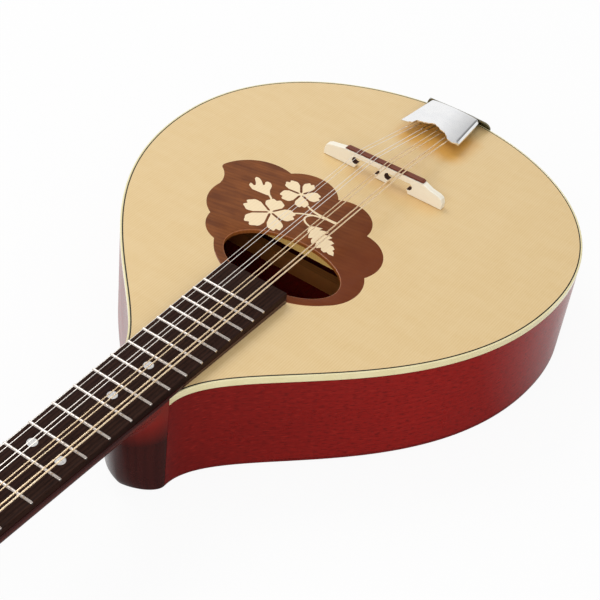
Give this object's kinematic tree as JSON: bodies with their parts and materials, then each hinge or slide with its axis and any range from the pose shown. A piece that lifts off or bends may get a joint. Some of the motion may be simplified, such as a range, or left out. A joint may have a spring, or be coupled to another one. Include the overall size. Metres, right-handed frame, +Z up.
{
  "type": "irish bouzouki",
  "caption": "Long-necked teardrop lute with four string pairs, floating bridge, geared tuners and a slip-on tailpiece cover.",
  "frame": {"origin": "on the flat back, on the centre line, under the theoretical saddle line", "axes": "+Y runs from the nut towards the tail, +X towards the bass strings, +Z up out of the soundboard"},
  "size_m": [0.3052, 0.9289, 0.0901],
  "materials": {
    "spruce_top": "satin gloss, straight fine grain",
    "pale_maple": "satin",
    "rosewood_plate": "satin",
    "rosewood_saddle": "oiled",
    "cream_binding": "gloss",
    "black_purfling": "satin",
    "red_stained_sides": "gloss lacquer over red stain",
    "red_brown_neck": "gloss lacquer over dark stain",
    "dark_fingerboard": "oiled",
    "inner_softwood": "bare",
    "bone_nut": "polished",
    "reinforcing_rod": "bare carbon fibre",
    "polished_steel": "polished nickel plate",
    "cream_button": "gloss",
    "plain_string": "bright drawn wire",
    "bronze_string": "bright wound wire"
  },
  "bodies": {
    "body": {"back": "red_stained_sides", "back_brace_1": "inner_softwood", "back_brace_2": "inner_softwood", "back_brace_3": "inner_softwood", "binding": "cream_binding", "bridge": "pale_maple", "end_pin": "dark_fingerboard", "fingerboard": "dark_fingerboard", "headstock_veneer": "dark_fingerboard", "inlay_bud": "pale_maple", "inlay_large_blossom": "pale_maple", "inlay_leaf": "pale_maple", "inlay_small_blossom": "pale_maple", "inlay_stem": "pale_maple", "lining_back": "inner_softwood", "lining_top": "inner_softwood", "neck": "red_brown_neck", "neck_block": "inner_softwood", "neck_reinforcing_rod": "reinforcing_rod", "nut": "bone_nut", "purfling": "black_purfling", "saddle_strip": "rosewood_saddle", "side_bass": "red_stained_sides", "side_treble": "red_stained_sides", "soundboard": "spruce_top", "soundhole_plate": "rosewood_plate", "soundhole_ring": "inner_softwood", "string_1": "plain_string", "string_2": "plain_string", "string_3": "plain_string", "string_4": "plain_string", "string_5": "bronze_string", "string_6": "bronze_string", "string_7": "bronze_string", "string_8": "bronze_string", "tail_block": "inner_softwood", "tailpiece_base": "polished_steel", "top_brace_1": "inner_softwood", "top_brace_2": "inner_softwood", "top_brace_3": "inner_softwood", "tuner_plate_bass": "polished_steel", "tuner_plate_treble": "polished_steel"},
    "button_1": {"tuner_button_1": "cream_button"},
    "post_1": {"tuner_post_1": "polished_steel"},
    "button_2": {"tuner_button_2": "cream_button"},
    "post_2": {"tuner_post_2": "polished_steel"},
    "button_3": {"tuner_button_3": "cream_button"},
    "post_3": {"tuner_post_3": "polished_steel"},
    "button_4": {"tuner_button_4": "cream_button"},
    "post_4": {"tuner_post_4": "polished_steel"},
    "button_5": {"tuner_button_5": "cream_button"},
    "post_5": {"tuner_post_5": "polished_steel"},
    "button_6": {"tuner_button_6": "cream_button"},
    "post_6": {"tuner_post_6": "polished_steel"},
    "button_7": {"tuner_button_7": "cream_button"},
    "post_7": {"tuner_post_7": "polished_steel"},
    "button_8": {"tuner_button_8": "cream_button"},
    "post_8": {"tuner_post_8": "polished_steel"},
    "tailpiece_cover": {"tailpiece_cover": "polished_steel"}
  },
  "joints": [
    {"name": "button_turn_1", "type": "hinge", "parent": "body", "child": "button_1", "pos_m": [0.02148, -0.69708, 0.04645], "axis": [0.9981, -0.0596, -0.0132], "continuous": true},
    {"name": "post_turn_1", "type": "hinge", "parent": "body", "child": "post_1", "pos_m": [0.021, -0.70893, 0.06369], "axis": [0, -0.2164, 0.9763], "continuous": true},
    {"name": "button_turn_2", "type": "hinge", "parent": "body", "child": "button_2", "pos_m": [0.01998, -0.72096, 0.04116], "axis": [0.9981, -0.0596, -0.0132], "continuous": true},
    {"name": "post_turn_2", "type": "hinge", "parent": "body", "child": "post_2", "pos_m": [0.0195, -0.73281, 0.0584], "axis": [0, -0.2164, 0.9763], "continuous": true},
    {"name": "button_turn_3", "type": "hinge", "parent": "body", "child": "button_3", "pos_m": [0.01849, -0.74483, 0.03586], "axis": [0.9981, -0.0596, -0.0132], "continuous": true},
    {"name": "post_turn_3", "type": "hinge", "parent": "body", "child": "post_3", "pos_m": [0.01801, -0.75668, 0.05311], "axis": [0, -0.2164, 0.9763], "continuous": true},
    {"name": "button_turn_4", "type": "hinge", "parent": "body", "child": "button_4", "pos_m": [0.01699, -0.76871, 0.03057], "axis": [0.9981, -0.0596, -0.0132], "continuous": true},
    {"name": "post_turn_4", "type": "hinge", "parent": "body", "child": "post_4", "pos_m": [0.01651, -0.78056, 0.04782], "axis": [0, -0.2164, 0.9763], "continuous": true},
    {"name": "button_turn_5", "type": "hinge", "parent": "body", "child": "button_5", "pos_m": [-0.02148, -0.69708, 0.04645], "axis": [0.9981, 0.0596, 0.0132], "continuous": true},
    {"name": "post_turn_5", "type": "hinge", "parent": "body", "child": "post_5", "pos_m": [-0.021, -0.70893, 0.06369], "axis": [0, -0.2164, 0.9763], "continuous": true},
    {"name": "button_turn_6", "type": "hinge", "parent": "body", "child": "button_6", "pos_m": [-0.01998, -0.72096, 0.04116], "axis": [0.9981, 0.0596, 0.0132], "continuous": true},
    {"name": "post_turn_6", "type": "hinge", "parent": "body", "child": "post_6", "pos_m": [-0.0195, -0.73281, 0.0584], "axis": [0, -0.2164, 0.9763], "continuous": true},
    {"name": "button_turn_7", "type": "hinge", "parent": "body", "child": "button_7", "pos_m": [-0.01849, -0.74483, 0.03586], "axis": [0.9981, 0.0596, 0.0132], "continuous": true},
    {"name": "post_turn_7", "type": "hinge", "parent": "body", "child": "post_7", "pos_m": [-0.01801, -0.75668, 0.05311], "axis": [0, -0.2164, 0.9763], "continuous": true},
    {"name": "button_turn_8", "type": "hinge", "parent": "body", "child": "button_8", "pos_m": [-0.01699, -0.76871, 0.03057], "axis": [0.9981, 0.0596, 0.0132], "continuous": true},
    {"name": "post_turn_8", "type": "hinge", "parent": "body", "child": "post_8", "pos_m": [-0.01651, -0.78056, 0.04782], "axis": [0, -0.2164, 0.9763], "continuous": true},
    {"name": "cover_lift", "type": "slide", "parent": "body", "child": "tailpiece_cover", "axis": [0, 0, 1], "range_m": [0, 0.03]}
  ],
  "couplings": [
    {"joint": "post_turn_1", "follows": "button_turn_1", "ratio": 0.071429},
    {"joint": "post_turn_2", "follows": "button_turn_2", "ratio": 0.071429},
    {"joint": "post_turn_3", "follows": "button_turn_3", "ratio": 0.071429},
    {"joint": "post_turn_4", "follows": "button_turn_4", "ratio": 0.071429},
    {"joint": "post_turn_5", "follows": "button_turn_5", "ratio": 0.071429},
    {"joint": "post_turn_6", "follows": "button_turn_6", "ratio": 0.071429},
    {"joint": "post_turn_7", "follows": "button_turn_7", "ratio": 0.071429},
    {"joint": "post_turn_8", "follows": "button_turn_8", "ratio": 0.071429}
  ]
}
